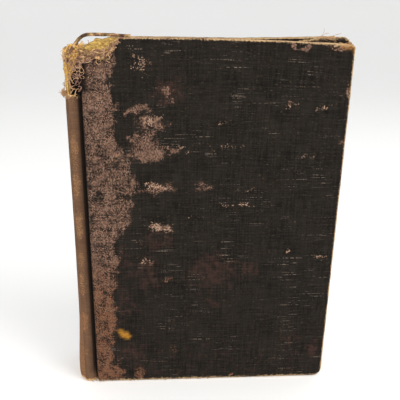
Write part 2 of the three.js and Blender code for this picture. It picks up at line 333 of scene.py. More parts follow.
def book_cloth(name, dyed, faded, thread_tone, rubbed, rubbed_dark, tanned, bare, stain):
    material, add, flat = start_finish(name)
    mask = {key: add("Attribute", attribute_name=key, out="Fac")
            for key in ("stained", "rubbed", "tanned", "flecked", "bare", "spotted", "sooty")}
    weave = weave_height(add, flat)
    crossing = add("VectorMath.SNAP", flat, (THREAD, THREAD, 1))
    chance = add("TexWhiteNoise", named={"Vector": crossing})
    fine = grain(add, flat, 0.9, 0.3, 0.7, 8)
    medium = grain(add, flat, 3.2, 0.25, 0.75, 8)
    broad = grain(add, flat, 12, 0.3, 0.7, 5)
    rows = grain(add, flat, 0.8, 0.35, 0.7, 3, stretch=(14, 1))
    columns = grain(add, flat, 0.8, 0.35, 0.7, 3, stretch=(1, 14))
    streaks = add("Math.MULTIPLY", add("Math.ADD", rows, columns), 0.5)

    # The dye: clouded, streaked by uneven threads, and stained brown by damp.
    clouded = add("Math.MULTIPLY_ADD", medium, 0.35, add("Math.MULTIPLY", broad, 0.7))
    colour = add("Mix", clouded, dyed, faded, **COLOUR)
    colour = add("Mix", add("Math.MULTIPLY", streaks, 0.75), colour, thread_tone, **COLOUR)
    roughly = add("Math.MULTIPLY_ADD", medium, 0.7, add("Math.MULTIPLY_ADD", streaks, 0.5, -0.6))
    stained = add("Math.ADD", mask["stained"], roughly)
    stained = add("MapRange", stained, 0.3, 1.25, **SMOOTH)
    colour = add("Mix", add("Math.MULTIPLY", stained, 0.9), colour, stain, **COLOUR)

    # The rubbing: a crossing shows brown where the wear beats its chance.
    roughly = add("Math.MULTIPLY_ADD", medium, 0.32, add("Math.MULTIPLY_ADD", fine, 0.08, -0.28))
    roughly = add("Math.MULTIPLY_ADD", streaks, 0.22, roughly)
    worn = add("MapRange", add("Math.ADD", mask["rubbed"], roughly), 0.3, 1.0, **SMOOTH)
    beaten = add("Math.SUBTRACT", add("Math.MULTIPLY", worn, 1.15), chance)
    begun = add("Math.MINIMUM", add("Math.MULTIPLY_ADD", worn, 3.0, 0.15), 1.0)
    crown = add("Math.MULTIPLY", add("MapRange", beaten, -0.2, 0.45), begun)
    shade = add("Math.FRACT", add("Math.MULTIPLY", chance, 7.31))
    shade = add("Math.MULTIPLY_ADD", shade, 0.85, add("Math.MULTIPLY", fine, 0.15))
    tone = add("Mix", shade, rubbed_dark, rubbed, **COLOUR)
    tone = add("Mix", add("Math.MULTIPLY", mask["tanned"], 0.7), tone, tanned, **COLOUR)
    colour = add("Mix", add("Math.MULTIPLY", worn, 0.5), colour, rubbed_dark, **COLOUR)
    colour = add("Mix", crown, colour, tone, **COLOUR)

    # Pale dashes in the rubbing, rows of pale weft, and flecks of undyed thread.
    dashes = grain(add, flat, 0.45, 0.62, 0.7, 3, stretch=(3.5, 1))
    dashes = add("Math.MULTIPLY", dashes, add("Math.MULTIPLY_ADD", worn, 0.4, 0.1))
    pale_rows = add("Math.MULTIPLY", grain(add, flat, 0.42, 0.64, 0.72, 1, stretch=(34, 1)),
                    grain(add, flat, 14, 0.45, 0.6, 2, stretch=(2, 1)))
    weft_on_top = add("Math.GREATER_THAN", add("Math.FRACT", add("Math.MULTIPLY", chance, 3.3)), 0.45)
    pale_rows = add("Math.MULTIPLY", pale_rows, add("Math.MULTIPLY", weft_on_top, 0.42))
    picked = add("Math.MULTIPLY", mask["flecked"], add("Math.MULTIPLY_ADD", streaks, 1.1, 0.5))
    picked = add("Math.SUBTRACT", picked, add("Math.FRACT", add("Math.MULTIPLY", chance, 13.7)))
    picked = add("Math.MULTIPLY", add("MapRange", picked, 0.0, 0.2), 0.8)
    colour = add("Mix", pale_rows, colour, PALE_WEFT, **COLOUR)
    colour = add("Mix", dashes, colour, bare, **COLOUR)
    colour = add("Mix", picked, colour, PALE_FLECK, **COLOUR)

    # Bare edges, the ochre spot, then painted shade in the joint and between the threads.
    bared = add("Math.ADD", mask["bare"], add("Math.MULTIPLY_ADD", fine, 0.5, -0.3))
    colour = add("Mix", add("MapRange", bared, 0.25, 0.7), colour, bare, **COLOUR)
    ochre = add("Math.MULTIPLY", mask["spotted"], add("Math.MULTIPLY_ADD", fine, 0.5, 0.6))
    colour = add("Mix", ochre, colour, OCHRE, **COLOUR)
    # Painted shade, laid on by its mask in the joint's groove, the hollow at the head and the rolled strip.
    colour = add("Mix", add("Math.MULTIPLY", mask["sooty"], 0.92), colour, DEEP_SHADE, **COLOUR)
    # Painted shade in the gaps between threads, where the weave is low.
    thread_gap_shade = add("Math.MULTIPLY", add("Math.SUBTRACT", 1.0, weave), 0.5)
    colour = add("Mix", thread_gap_shade, colour, WEAVE_SHADE, **COLOUR)
    height = add("Math.ADD", weave, add("Math.MULTIPLY", medium, 1.2))
    end_finish(add, colour, height, relief=0.6, depth=0.12, roughness=0.94, gloss=0.05, sheen=0.01)
    return material


charcoal_cloth = book_cloth(
    "charcoal_book_cloth", dyed="221e1a", faded="0f0e0d", thread_tone="2f2b27", rubbed="957361",
    rubbed_dark="3c2e27", tanned="7a5139", bare="c4a47a", stain="3f2d28")
spine_brown_cloth = book_cloth(
    "faded_brown_book_cloth", dyed="80604a", faded="6f523c", thread_tone="5a4234", rubbed="a07855",
    rubbed_dark="6e503b", tanned="94694a", bare="d6ac78", stain="5c4234")
print("book cloth:", charcoal_cloth.name, "and", spine_brown_cloth.name)

# %% [markdown]
# ## Straw board, card, paper and thread
# Straw board is pressed from yellow straw pulp, so where it is bared it is fibrous and mustard-coloured.
# The leaves are wood-pulp paper, toned to cream and browner at the rims. Cords, threads and mull are
# cotton or linen. All are matt, at a roughness of 0.88 to 0.93. Clumps and fibres of noise, drawn at the
# size of the real ones, do for every pressed sheet, and slanting bands for every twisted thread, whose
# dark is painted shade in the grooves of the twist.

# %% Finishes: board, card, paper, thread


def pulp(name, light, middle, deep, size, depth, fibre=0.6, roughness=0.93):
    """Pressed fibre: broad tones, fine fibres along u, and a rough face. Size is of a fibre clump in mm."""
    material, add, flat = start_finish(name)
    clumps = grain(add, flat, 2.6 * size, 0.3, 0.7, 5)
    fibres = grain(add, flat, 0.7 * size, 0.4, 0.62, 5, stretch=(2.4, 1))
    colour = add("Mix", clumps, middle, light, **COLOUR)
    colour = add("Mix", add("Math.MULTIPLY", fibres, fibre), colour, deep, **COLOUR)
    rim = add("Attribute", attribute_name="rim", out="Fac")
    colour = add("Mix", add("Math.MULTIPLY", rim, 0.8), colour, deep, **COLOUR)
    end_finish(add, colour, add("Math.ADD", fibres, clumps), relief=0.7, depth=depth, roughness=roughness,
               gloss=0.25)
    return material


def spun(name, light, dark):
    """Spun thread: its flat map runs along the thread, so slanting bands make the twist; their dark is painted
    shade in the grooves.
    """
    material, add, flat = start_finish(name)
    twist = add("TexWave", named={"Vector": flat, "Scale": 0.9, "Distortion": 1.5}, out="Fac",
                bands_direction="DIAGONAL")
    lumps = grain(add, flat, 1.6, 0.35, 0.65, 4)
    # Painted shade in the grooves of the twist, mixed with the thread's own uneven tone.
    twist_shade_and_tone = add("Math.MULTIPLY", add("Math.ADD", twist, lumps), 0.5)
    colour = add("Mix", twist_shade_and_tone, dark, light, **COLOUR)
    end_finish(add, colour, twist, relief=0.5, depth=0.05, roughness=0.88, gloss=0.2, sheen=0.05)
    return material


PAPER = {"depth": 0.02, "fibre": 0.1, "roughness": 0.9}
straw_board = pulp("mustard_straw_board", "d2ae60", "b08a4a", "5e4424", size=0.9, depth=0.5)
spine_card = pulp("ochre_spine_card", "f0c062", "d9a650", "8a5f2a", size=0.8, depth=0.4)
leaf_paper = pulp("toned_book_paper", "e2d7bb", "dbcdaa", "b79e74", size=7, **PAPER)
endleaf_paper = pulp("plain_endpaper", "d9cba8", "cfbd95", "aa8d60", size=9, **PAPER)
lining_paper = pulp("brown_lining_paper", "a98a60", "94754d", "6e5436", size=2, depth=0.05)
tan_thread = spun("bared_cotton_thread", "e2ba8c", "8a6240")
pink_thread = spun("half_dyed_cotton_thread", "bd9380", "5c4034")
gold_thread = spun("glue_stained_thread", "fbd07c", "c8954a")
linen_thread = spun("linen_sewing_thread", "ddd2b6", "b8a680")
mull_cotton = spun("starched_mull", "cdbd98", "a8946c")
print("finishes:", len(bpy.data.materials))

# %% [markdown]
# ## Where the cover is worn
# The wear could be left to noise, but a book wears where it is handled. So it is listed, in
# millimetres on the cover, as a condition report would note it: rubbed along the joint, scuffs with pale
# flecks, brown damp stains, one ochre spot near the tail, and bare thread along every edge. Each mark is
# (u, z, half width, half height, strength), and the joint's reach is given as (z, reach).

# %% Wear of the front cover
RUBBED = [
    (36, 144, 5, 4.5, 0.8), (29, 131, 8.5, 4.6, 0.85), (23, 137, 10, 3, 0.85), (27, 118.5, 11.5, 5.6, 0.9),
    (38.5, 121, 5, 1.1, 0.8), (31.6, 102, 8.5, 4, 0.85), (51.6, 102.5, 5.5, 2.6, 0.7),
    (24, 125, 8, 3.5, 0.75), (32, 83, 6.5, 2.5, 0.85), (27, 66, 3.5, 3, 0.7), (36, 57, 5, 3.5, 0.6),
    (23, 5, 4, 4.5, 0.8), (26, 154, 2, 5, 0.55), (60, 130, 1.8, 1.4, 0.6), (90, 139, 2.2, 1, 0.7),
    (67, 2, 1.8, 1.6, 0.9), (113, 147, 1.8, 3, 1), (113.5, 124, 1.4, 2.2, 0.9), (88.4, 164.4, 1.6, 1.4, 1),
    (93, 164.1, 2.4, 1.6, 1), (102, 165, 2, 1.1, 0.9), (109, 165, 5, 1.6, 0.9), (109, 67.5, 4, 1.3, 0.6),
    (78, 20, 3, 2, 0.3), (38, 18.5, 3.2, 2, 0.6), (45.5, 119.3, 1.1, 0.9, 0.9), (8, 6, 5, 8, 0.8)]
STAINED = [
    (30, 76, 9, 6, 0.8), (56, 60, 14, 11, 0.9), (73.5, 62, 7, 5, 0.8), (55, 45, 4, 4, 0.8),
    (17, 16, 9, 9, 0.8), (97, 22.5, 8, 4, 0.9), (109, 16, 5, 7, 1), (100, 150, 8, 6, 0.4),
    (36, 144, 9, 8, 0.8), (40, 30, 12, 6, 0.4), (75, 105, 12, 6, 0.3), (25, 60, 9, 10, 0.8),
    (100, 105, 4, 3, 0.4), (13, 42, 7, 14, 0.75), (14, 66, 6, 9, 0.7)]
FLECKED = [
    (29.5, 132, 5, 2, 0.5), (31, 103.5, 4, 1.4, 0.7), (32, 83.5, 4.5, 1.6, 0.6), (38.5, 121, 4.5, 0.7, 0.8),
    (90, 139, 1.6, 0.7, 0.9), (67, 94, 9, 0.8, 0.45), (71, 101.5, 2, 0.8, 0.5), (60, 130, 1.4, 1.2, 0.5),
    (24, 155, 2.6, 4.5, 0.35), (107, 67.6, 3, 0.7, 0.6), (98, 118, 4, 0.6, 0.3), (45.5, 119.3, 0.9, 0.8, 1),
    (45, 88, 0.7, 0.6, 1), (80.5, 94, 0.8, 0.6, 0.9), (93, 70, 0.8, 1, 0.8), (103, 138, 3, 0.7, 0.5),
    (26, 67, 2.6, 2, 0.3), (62, 121, 9, 0.6, 0.3), (88.4, 164.6, 1.4, 1, 0.6), (93, 164.4, 2, 1, 0.7),
    (109, 164.6, 4.5, 0.9, 0.8)]
SPOTTED = [(110.5, 165, 3.6, 1.1, 0.4), (113.2, 163.4, 0.8, 1.6, 0.35), (12.2, 29, 1.6, 1.5, 0.8),
           (13.6, 27.4, 2.2, 1.6, 1), (15.2, 25.9, 1.8, 1.3, 0.9)]
JOINT_WEAR = [(0, 11), (8, 9), (16, 7.5), (24, 9), (30, 10), (40, 9.5), (50, 9.5), (60, 11), (67, 13.5),
              (74, 11), (80, 14), (84, 18), (90, 19.5), (97, 21), (104, 23), (110, 20), (116, 22),
              (121, 17), (126, 11.5), (131, 12), (136, 14), (143, 12), (150, 13), (158, 15), (166, 15)]


def marks(u, z, spots, seed, stray=1.0):
    """How strongly a list of marks covers each point; their outlines wander."""
    wide = u + stray * (4 * uneven(u, z, 6, seed) + 2 * uneven(u, z, 2.2, seed + 3))
    high = z + stray * (3 * uneven(u, z, 5, seed + 7) + 1.6 * uneven(u, z, 2, seed + 9))
    cover = np.zeros(np.shape(u))
    for u0, z0, half_width, half_height, strength in spots:
        distance = np.hypot((wide - u0) / half_width, (high - z0) / half_height)
        cover = np.maximum(cover, strength * (1 - ease(0.3, 1.5, distance)))
    return cover


def joint_wear(u, z):
    heights, reaches = zip(*JOINT_WEAR)
    reach = np.interp(z, heights, reaches) + 2.4 * uneven(u, z, 5, 3) + 1.6 * uneven(u, z, 1.8, 8)
    return 1 - ease(-3, 4, u - reach)


def edge_wear(u, z, reach):
    from_edge = np.minimum(WIDTH - u, np.minimum(z, HEIGHT - z))
    return np.clip(1 - from_edge / reach, 0, 1)


def front_wear(u, z):
    lighter = 0.06 * ease(60, 90, z) * ease(130, 112, z) + 0.12 * ease(138, 146, z) * ease(8, 11, u)
    at_joint = (0.73 - lighter + 0.22 * uneven(u, z, 4.5, 13)) * joint_wear(u, z)
    rubbed = np.maximum(0.9 * marks(u, z, RUBBED, 1), at_joint)
    threadbare = np.maximum(edge_wear(u, z, 1.3), 1 - z / 2.2)
    return {"rubbed": np.maximum(rubbed, 0.8 * edge_wear(u, z, 1.8)),
            "stained": np.maximum(marks(u, z, STAINED, 4), 0.4 * ease(60, 10, z)),
            "flecked": marks(u, z, FLECKED, 6),
            "spotted": marks(u, z, SPOTTED, 2, 0.2),
            "tanned": ease(75, 40, z),
            "bare": threadbare * np.clip(0.9 + 0.6 * uneven(u, z, 7, 5), 0, 1)}


print("front cover:", len(RUBBED), "rubbed,", len(STAINED), "stained and", len(FLECKED), "flecked places")

# %% [markdown]
# The back cover's wear is a guess. A book that is laid down on tables gets broad, even scuffs there,
# and more at the joint, so noise alone is enough for it.

# %% Wear of the back cover


def back_wear(u, z):
    scuffs = np.clip(uneven(u, z, 26, 31) * 1.6 + 0.5 * uneven(u, z, 5, 32) - 0.45, 0, 1)
    scuffs = scuffs + 0.9 * (1 - ease(3, 13, u + 5 * uneven(u, z, 9, 33)))
    unmarked = np.zeros(np.shape(u))
    return {"rubbed": np.maximum(np.clip(scuffs, 0, 0.9), 0.8 * edge_wear(u, z, 2.2)),
            "stained": np.clip(uneven(u, z, 34, 37) * 2 - 0.3, 0, 1),
            "flecked": unmarked,
            "spotted": unmarked,
            "tanned": ease(75, 40, z),
            "bare": edge_wear(u, z, 1.5) * np.clip(0.85 + 0.6 * uneven(u, z, 7, 35), 0, 1)}


middle_wear = back_wear(np.array([WIDTH / 2]), np.array([HEIGHT / 2]))
print("back cover, rubbed at its middle:", round(float(middle_wear["rubbed"][0]), 2))

# %% [markdown]
# ## The covered boards
# A covered board is a slab with soft edges. Its cloth lies over the outside, goes round the head, tail
# and fore-edge and 15 mm onto the inside; at the joint it dips to the floor of the groove and runs on to
# the spine. The cloth is built from squares of a sharp slab, whose corners are then rounded, so that the
# torn squares can simply be left out and the sheet thickened into real cloth with a real torn edge.

# %% Shape of a covered board
ROUND = 1.1
TURN_IN = 15
HEAD_CORNER, TAIL_CORNER = 1.8, 4.2
RIM = [0, 0.25, 0.5, 0.8, 1.1, 1.6, 2.3]


def far_edge(size, steps):
    return [size - step for step in reversed(steps)]


def rounded_slab(u, z, depth, inset=0.0, soft=ROUND):
    """Rounds the edges of a sharp slab, given the depth below the outer face, and then its two corners."""
    wide, high, thick = WIDTH - inset, HEIGHT - inset, COVER_THICK - inset
    core = np.stack([np.clip(u, -99, wide - soft), np.clip(z, inset + soft, high - soft),
                     np.clip(depth, inset + soft, thick - soft)])
    away = np.stack([u, z, depth]) - core
    reach = np.maximum(np.sqrt((away ** 2).sum(0)), 1e-9)
    u, z, depth = core + away * np.minimum(1, soft / reach)
    for corner, side in ((HEAD_CORNER, 1), (TAIL_CORNER, -1)):
        past_u = u - (wide - corner)
        past_z = side * (z - HEIGHT / 2) - (high - HEIGHT / 2 - corner)
        length = np.maximum(np.hypot(past_u, past_z), 1e-9)
        pull = np.where((past_u > 0) & (past_z > 0), np.maximum(past_u, past_z) / length, 1)
        shift_u, shift_z = past_u * (pull - 1), side * past_z * (pull - 1)
        u, z = u + shift_u, z + shift_z
    return u, z, depth


def sagged(u, z, side):
    """The front cover's head corner has sagged by 1.5 mm and the back cover's stands as much proud."""
    towards_corner = np.clip((u - 55) / 59, 0, 1.1) ** 1.6 * np.clip(z / HEIGHT, 0, 1) ** 2
    return z - side * 1.5 * towards_corner


class Squares:
    """Collects four-sided faces whose corners are named by their own (u, z, depth)."""

    def __init__(self):
        self.number, self.faces = {}, []

    def fill(self, firsts, seconds, corner, flip=False, keep=None):
        for a, b in zip(firsts, firsts[1:]):
            for c, d in zip(seconds, seconds[1:]):
                if keep is None or keep((a + b) / 2, (c + d) / 2):
                    square = [corner(a, c), corner(b, c), corner(b, d), corner(a, d)]
                    names = [tuple(round(float(v), 3) for v in spot) for spot in square]
                    names = reversed(names) if flip else names
                    self.faces.append([self.number.setdefault(name, len(self.number)) for name in names])

    def points(self):
        return np.array(list(self.number)).T

    def make(self, name, side, u, z, depth, material, flat, masks=None):
        """The piece, on the front (side 1) or mirrored to the back (side -1)."""
        points = np.stack([u, side * (depth - FACE), sagged(u, z, side)], 1)
        faces = self.faces if side > 0 else [face[::-1] for face in self.faces]
        return make_piece(name, points, faces, material, np.stack(flat, 1), masks)


print("turn-in", TURN_IN, "mm, corners", HEAD_CORNER, "and", TAIL_CORNER, "mm")

# %% [markdown]
# The joint is where the cover hinges: the cloth dips between board and spine so that it can fold. A
# curve through a few measured places does it, and a position along that arc finds a place on it. The
# path dips from the face of the board into a narrow valley; a crushed second layer runs on below.

# %% The joint groove
BOARD_START = 1.2
groove_path = np.array([
    (BOARD_START, 0), (0.8, 0.01), (0.45, 0.06), (0.15, 0.2), (-0.08, 0.45), (-0.25, 0.85), (-0.4, 1.3),
    (-0.55, 1.75), (-0.78, 2.0), (-1.15, 2.2), (-1.6, 2.38), (-2.2, 2.48), (-3.0, 2.53), (-3.8, 2.58),
    (-4.6, 2.6), (-5.25, 2.6)])
JOINT_ARC = BOARD_START - lengths_along(groove_path)
VALLEY = JOINT_ARC[9]
heading = np.gradient(groove_path, axis=0)
heading /= np.hypot(*heading.T)[:, None]


def into_groove(s, z, sink):
    """The place (u, depth) of the cloth at arc position s; sink moves it in from the outer side."""
    columns = (groove_path[:, 0], groove_path[:, 1], heading[:, 1], -heading[:, 0])
    u, depth, inward_u, inward_depth = [np.interp(s, JOINT_ARC[::-1], column[::-1]) for column in columns]
    return u + inward_u * sink, depth + inward_depth * sink


print("cloth in the joint runs", round(BOARD_START - JOINT_ARC[-1], 1), "mm from the board to the spine")

# %% [markdown]
# At the head of the front joint, where a finger pulls the book off its shelf, the cloth has torn away
# along a diagonal over the board, and lower down inside the groove. A line of heights with a fixed set
# of jags decides which squares of cloth are kept. At the back the head is only nibbled away.

# %% The tear at the head of the joint
TEAR_WIDTH = 16.5
CRUSHED_TOP = 136
tear_rng = random.Random(4)
jags = [tear_rng.uniform(-0.6, 0.6) for _ in range(97)]


def jag(s):
    return jags[int((s + 12) * 2.2) % 97]


def tear_line(s):
    """Height of the torn edge of the cloth at arc position s."""
    line = np.interp(s, [-6, -0.4, 4, 10, 12.5, TEAR_WIDTH], [154.5, 156, 157.8, 158.8, 161.3, 166.6])
    return float(line) + jag(s)


def front_kept(s, z):
    crushed_layer = s < VALLEY
    return (s > TEAR_WIDTH or z < tear_line(s)) and not (crushed_layer and z < CRUSHED_TOP)


def back_kept(s, z):
    return s > VALLEY and z < np.interp(s, [-6, 0, 4, 9, 10], [160.5, 161.5, 163.2, 165.2, 170]) + 0.5 * jag(s)


print("the tear is", TEAR_WIDTH, "mm wide and starts", round(HEIGHT - tear_line(0), 1), "mm below the head")

# %% [markdown]
# The cover cloth is one sheet per cover: outer face, three edges and turn-ins. Separate patches would
# show seams, so the squares share their corners. The masks fade on the inside and down in the groove.

# %% Cover cloth


def cover_cloth(name, side, kept, wear, step):
    """The cloth of one cover. Side is 1 for the front and -1 for the back; step is the finest square."""
    across = [*JOINT_ARC[::-1][:-1], *np.arange(BOARD_START, 21, step), *np.arange(21, WIDTH - 2.6, 1.2),
              *far_edge(WIDTH, RIM)]
    up = [*RIM, *np.arange(3.3, 141, 1.2), *np.arange(141, HEIGHT - 2.6, step), *far_edge(HEIGHT, RIM)]
    through = [*RIM[:5], *far_edge(COVER_THICK, RIM[:5])]
    on_board = [s for s in across if s >= BOARD_START - 1e-9]

    def kept_inside(s, z):
        return kept(s, z) and (s > WIDTH - TURN_IN or not TURN_IN < z < HEIGHT - TURN_IN)

    cloth = Squares()
    cloth.fill(across, up, lambda s, z: (s, z, 0), keep=kept)
    cloth.fill(up, through, lambda z, d: (WIDTH, z, d), flip=True)
    cloth.fill(on_board, through, lambda s, d: (s, HEIGHT, d), keep=lambda s, d: kept(s, HEIGHT))
    cloth.fill(on_board, through, lambda s, d: (s, 0, d), flip=True)
    cloth.fill(on_board, up, lambda s, z: (s, z, COVER_THICK), flip=True, keep=kept_inside)
    s, z, depth = cloth.points()
    at_fore_edge, at_head, at_tail = s >= WIDTH - 1e-6, z >= HEIGHT - 1e-6, z <= 1e-6
    in_joint, inside = s < BOARD_START, depth > COVER_THICK / 2

    masks = wear(s, z)
    in_groove = ease(0.45, 1.5, np.where(in_joint, into_groove(s, z, 0)[1], 0))
    masks["rubbed"] = np.where(inside, 0.2 * masks["rubbed"], masks["rubbed"] * (1 - 0.9 * in_groove))
    masks["flecked"] = np.where(inside, 0, masks["flecked"] * (1 - in_groove))
    inner_rim = ease(1.4, 0.3, COVER_THICK - depth) * ease(1.2, 0.4, np.minimum(HEIGHT - z, WIDTH - s))
    masks["bare"] = np.maximum(masks["bare"] * np.exp(-depth / ROUND), 0.75 * inner_rim)
    # Painted shade: dark down in the joint's groove, fading out near the tail, and in the hollow under the tear
    # at the head of the front joint.
    hollow = (side > 0) * (1 - ease(1.2, 3.4, s)) * ease(142, 145, z)
    masks["sooty"] = np.maximum(in_groove * ease(-1, 9, z), hollow)

    fore_turn_in = inside & ~at_fore_edge & (WIDTH - s < np.minimum(z, HEIGHT - z))
    flat_u = np.where(fore_turn_in, 2 * WIDTH + COVER_THICK - s, s + depth * at_fore_edge)
    flat_z = z + depth * at_head - depth * at_tail
    lumpy = 0.16 * uneven(s + depth, z, 4, 20 + side)
    u, height, deep = rounded_slab(s, z, depth)
    joint_u, joint_depth = into_groove(s, z, deep)
    u = np.where(in_joint, joint_u, u + lumpy * at_fore_edge)
    deep = np.where(in_joint, joint_depth, deep)
    height = np.maximum(height + np.minimum(lumpy, 0.1) * (at_head * 1.0 - at_tail * 1.0), 0.02)
    piece = cloth.make(name, side, u, height, deep, charcoal_cloth, [flat_u, flat_z], masks)
    thicken(piece, 0.42)
    return piece


def bend(piece, side, slot, node=None):
    """Bakes a piece's place into its mesh and hides the node that it stands in for, if any."""
    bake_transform(piece)
    if node:
        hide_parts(node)


front_cover_cloth = cover_cloth("front_cover_cloth", 1, front_kept, front_wear, 0.5)
back_cover_cloth = cover_cloth("back_cover_cloth", -1, back_kept, back_wear, 1.2)
bend(front_cover_cloth, 1, "cover_cloth", "front_cloth")
bend(back_cover_cloth, -1, "cover_cloth", "back_cloth")

# %% [markdown]
# ## Straw boards
# Under the cloth each board is straw board. Only the torn head of the front one shows: its corner is
# worn round and its face has burst into fibres, so that part gets a fine mesh pushed about by noise.

# %% Boards
INSET = 0.5


def straw_slab(name, side, fine, worn_wide, worn_high):
    """A board, inset under its cloth. Its head corner at the joint is worn off over the last two sizes."""
    edge = [INSET, 0.8, 1.1]
    across = [0, 0.3, 0.7, *np.arange(1.2, 22, fine), *np.arange(22, WIDTH - 2, 8), *far_edge(WIDTH, edge)]
    up = [INSET, 0.8, 1.2, *np.arange(4, 140, 8), *np.arange(140, HEIGHT - 1.5, fine), *far_edge(HEIGHT, edge)]
    through = [*edge, 1.6, *far_edge(COVER_THICK, edge)]
    board = Squares()
    board.fill(across, up, lambda u, z: (u, z, INSET))
    board.fill(across, up, lambda u, z: (u, z, COVER_THICK - INSET), flip=True)
    board.fill(up, through, lambda z, d: (across[-1], z, d), flip=True)
    board.fill(up, through, lambda z, d: (0, z, d))
    board.fill(across, through, lambda u, d: (u, HEIGHT - INSET, d))
    board.fill(across, through, lambda u, d: (u, INSET, d), flip=True)
    u, z, depth = board.points()
    flat = [u + depth, z + depth]
    u, z, depth = rounded_slab(u, z, depth, inset=INSET, soft=0.6)
    worn_from = HEIGHT - INSET - worn_high
    past_u, past_z = worn_wide - u, z - worn_from
    reach = 1 + 0.15 * uneven(u * 0.3, z * 0.3, 0.9, 45)
    out = np.hypot(np.maximum(past_u, 0) / (worn_wide - 1.5), np.maximum(past_z, 0) / worn_high) / reach
    pull = np.where((past_u > 0) & (past_z > 0) & (out > 1), 1 / np.maximum(out, 1e-9), 1)
    u, z = worn_wide - past_u * pull, worn_from + past_z * pull
    if side > 0:
        burst = ease(19, 14, u) * ease(152, 157, z)
        depth = depth + burst * (0.4 * uneven(u, z, 1.1, 41) + 0.4 * uneven(u, z, 3, 42) - 0.12)
        u = u + 0.4 * burst * uneven(z, depth, 1.3, 43)
        z = z + 0.45 * burst * uneven(u, depth, 1.5, 44)
    return board.make(name, side, u, z, depth, straw_board, flat)


for name, side, fine, worn_wide, worn_high in (("front", 1, 0.5, 10, 5.8), ("back", -1, 1, 12.5, 5.5)):
    board = straw_slab(name + "_straw_board", side, fine, worn_wide, worn_high)
    settle(board, name + "_cover", name + "_board")

# %% [markdown]
# ## Spine cloth and card
# The spine cloth is the same cloth, faded brown by light. It follows the rounded back from one groove to
# the other; at the tail it is turned in over a cord, and at the head it has torn off and left the card
# bare. Its plan is an arc through the shoulders and the crown, so one radius serves every layer below.

# %% Spine cloth
ARC_RADIUS = (SHOULDER_Y ** 2 + (SHOULDER_U - APEX) ** 2) / (2 * (SHOULDER_U - APEX))
ARC_CENTRE = APEX + ARC_RADIUS
EDGE_ROLL = 0.9


def back_curve(y, radius):
    return ARC_CENTRE - np.sqrt(radius ** 2 - np.asarray(y, float) ** 2)


def back_path(ys, radius):
    return [(float(back_curve(y, radius)), y) for y in ys]


def spine_tear(y):
    """Height of the torn head of the spine cloth, lowest towards the front."""
    return 142.4 + 0.9 * uneven(y, 0, 1.1, 51) + 1.2 * uneven(y, 0, 0.4, 53) + 17 * ease(-1, 9, y)


def flare(z):
    """How far the spine stands in from a straight line: drawn in at mid height, flared at the tail."""
    return 0.55 * ease(10, 70, z) - 1.3 * ease(34, 0, z)


def rolled_in(z):
    """How far the cloth sinks where it is rolled over at the head and tail."""
    inside = np.maximum(EDGE_ROLL - np.minimum(z, HEIGHT - z), 0)
    return EDGE_ROLL - np.sqrt(np.maximum(EDGE_ROLL ** 2 - inside ** 2, 0))


def outward(u, y, distance):
    """Moves places of the back straight out from the centre of its arc."""
    reach = np.hypot(u - ARC_CENTRE, y)
    return u + (u - ARC_CENTRE) / reach * distance, y + y / reach * distance


def spine_shape(points):
    u, y, z = points.T
    sink = rolled_in(z) + 0.1 + 0.1 * uneven(y, z, 7, 57) + flare(z) * ease(13.4, 10, np.abs(y))
    tail_dip = 0.7 * ease(8, 0, z) * np.maximum(uneven(y, z, 6, 58), 0)
    return np.stack([*outward(u, y, -sink), z + tail_dip], 1)


def spine_wear(points):
    u, y, z = points.T
    return {"rubbed": np.clip(0.5 + 0.35 * uneven(y, z * 0.3, 4, 55) + 0.3 * ease(60, 20, z), 0, 1),
            "bare": np.maximum(ease(2.4, 0.6, z), ease(2.2, 0.2, spine_tear(y) - z)) * 0.9,
            "tanned": ease(75, 30, z),
            "stained": np.clip(0.7 * uneven(y, z, 12, 59), 0, 1)}


tuck = [(-4.9, 13.0), (-5.3, 13.15), (-5.7, 13.28)]
spine_section = tuck + back_path(np.linspace(13.3, -13.3, 49), ARC_RADIUS) + [(u, -y) for u, y in tuck[::-1]]
spine_rows = [0, 0.2, 0.6, 1.1, 1.8, 2.6, *np.arange(4, 136, 2.4), *np.arange(136, HEIGHT - 1.2, 0.6),
              *far_edge(HEIGHT, [0, 0.2, 0.6, 1.1])]
spine_cover_cloth = upright_sheet(
    "spine_cover_cloth", spine_section, spine_rows, spine_brown_cloth, 0.4,
    keep=lambda u, y, z: z < spine_tear(y), shape=spine_shape, masks=spine_wear)
settle(spine_cover_cloth, "spine", "spine_cloth")

# %% [markdown]
# The same cloth crosses from the shoulder to the valley of the joint. It is a piece of its own, because on
# the real book this part bends with the cover while the spine stays still; its edges are hidden in the valley.

# %% Joint cloth
joint_section = [
    (-6.35, 1.22), (-6.0, 1.02), (-5.5, 0.86), (-4.9, 0.74), (-4.2, 0.68), (-3.4, 0.7), (-2.8, 0.82),
    (-2.3, 1.02), (-1.9, 1.3), (-1.55, 1.62), (-1.25, 1.95), (-1.0, 2.2)]


def joint_shape(points):
    u, y, z = points.T
    sink = rolled_in(z) + 0.08 * uneven(u, z, 6, 64) + 0.25 * ease(60, 120, z) - 0.2 * ease(30, 0, z)
    return np.stack([u, y - np.sign(y) * sink, z], 1)


def joint_top(side, u):
    """Height of the torn head of the joint cloth: low at the front, near the head at the back."""
    base = 142.6 if side > 0 else 160.0 + 0.2 * (u + 6)
    return base + 1.3 * uneven(u, side, 0.8, 66)


def joint_masks(side, points):
    # The joint cloth gets painted shade, darkest in the valley of the joint and fading out near the tail.
    u, y, z = points.T
    return {"rubbed": np.clip(0.55 + 0.9 * uneven(u, z, 6, 65), 0, 1) * ease(-1.6, -4.2, u),
            "sooty": np.maximum(ease(-2.9, -1.9, u), 0.45 * ease(-5.2, -2.4, u)) * ease(-1, 9, z),
            "bare": np.maximum(ease(2.2, 0.6, z), ease(1.5, 0.2, joint_top(side, u) - z)) * 0.9,
            "tanned": ease(75, 30, z)}


